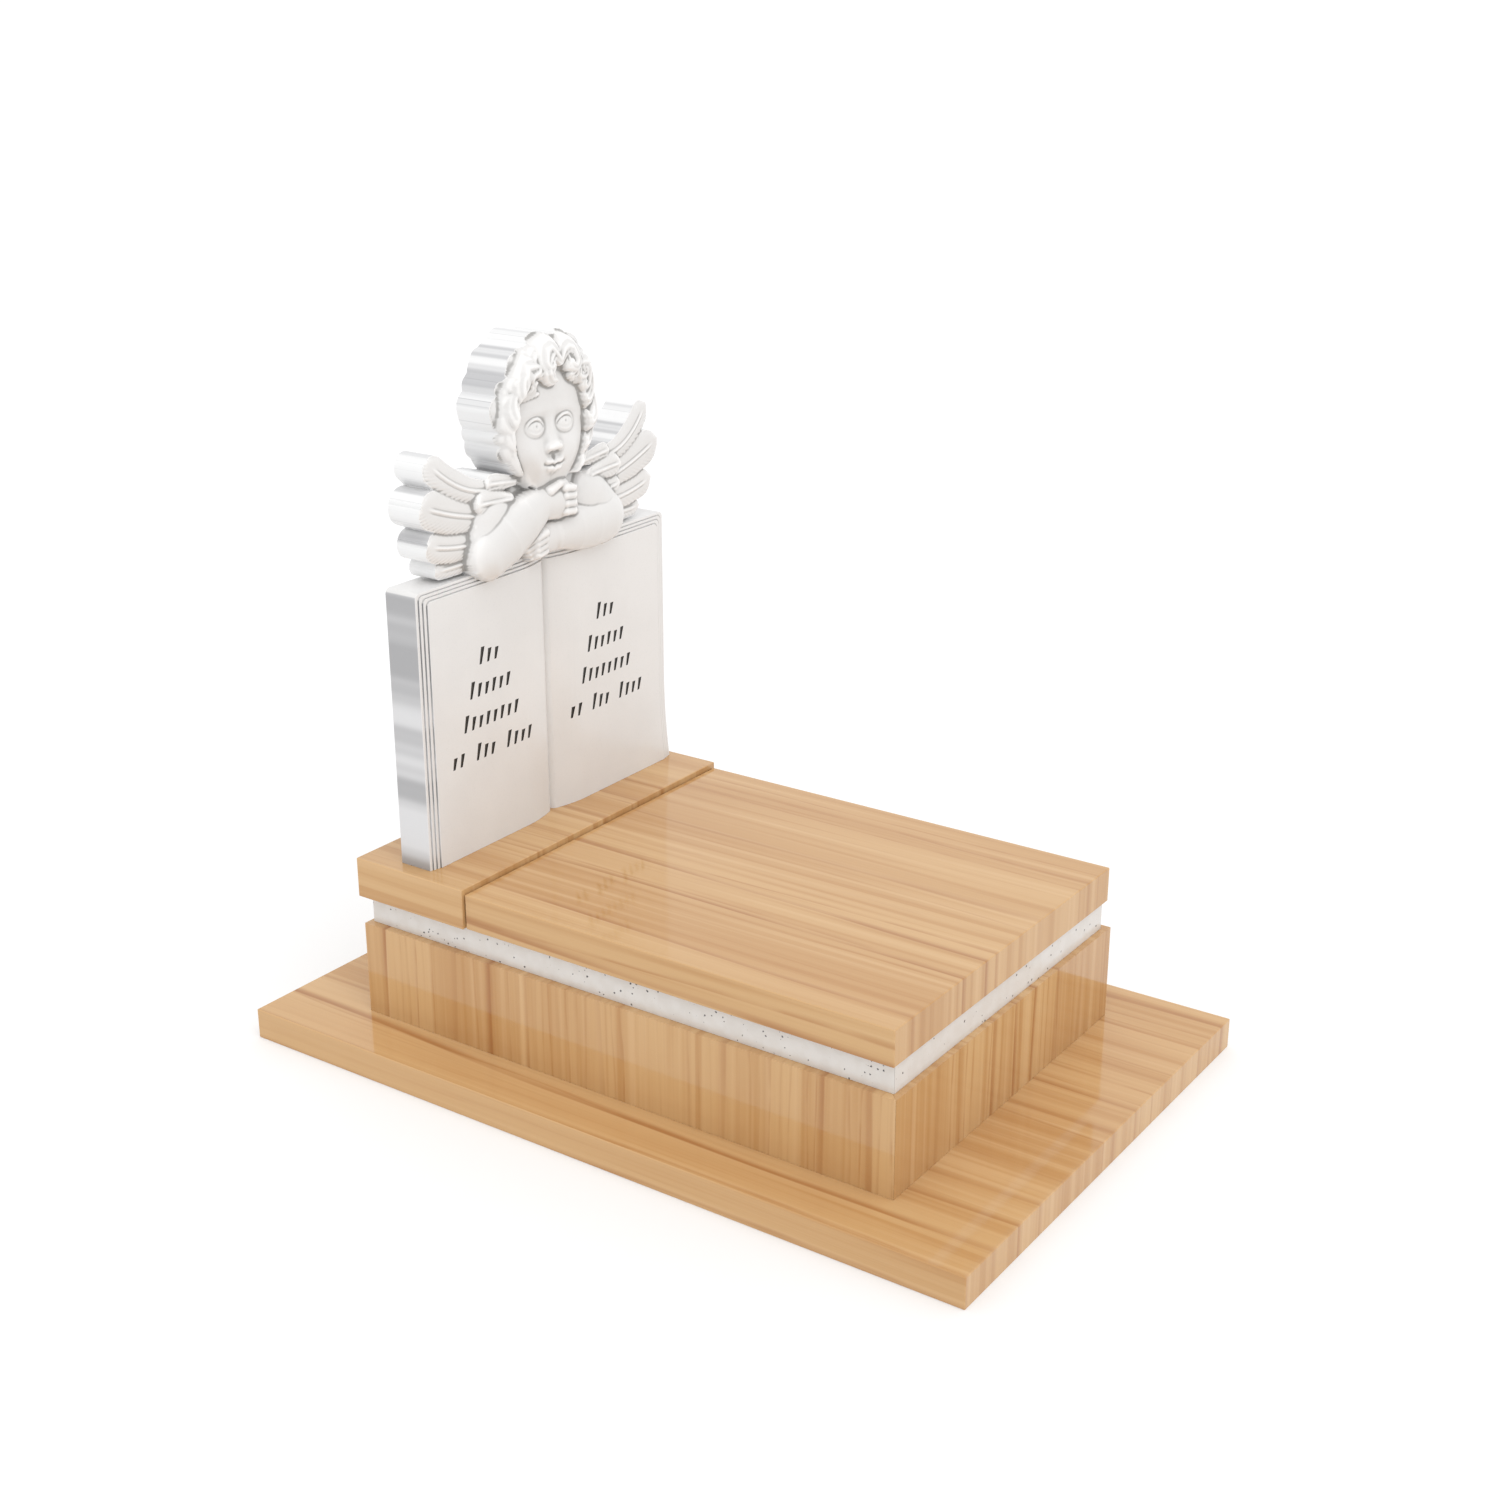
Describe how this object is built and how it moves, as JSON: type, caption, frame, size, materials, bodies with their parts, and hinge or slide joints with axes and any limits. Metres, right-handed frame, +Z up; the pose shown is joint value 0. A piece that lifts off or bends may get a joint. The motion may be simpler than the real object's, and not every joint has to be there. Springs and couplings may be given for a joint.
{
  "type": "grave monument",
  "caption": "Grave monument with a flat base slab, a hollow tomb body with a speckled strip, a cover slab, and an open book headstone with a leaning cherub in relief.",
  "frame": {"origin": "centre of the base slab's underside, on the ground", "axes": "+Z up; +Y along the grave from its foot to the headstone; +X to the right as seen from the foot"},
  "size_m": [1.056, 1.6, 1.3621],
  "materials": {
    "tan_stone": "polished, with brown streaks along one direction",
    "speckled_stone": "polished, with dark specks",
    "white_stone": "honed"
  },
  "bodies": {
    "root": {"base_slab": "tan_stone", "course_side_left": "tan_stone", "course_side_right": "tan_stone", "course_end_foot": "tan_stone", "course_end_head": "tan_stone", "strip_side_left": "speckled_stone", "strip_side_right": "speckled_stone", "strip_end_foot": "speckled_stone", "strip_end_head": "speckled_stone", "cover_slab": "tan_stone", "headstone_base": "tan_stone", "book_headstone": "white_stone"}
  },
  "joints": []
}
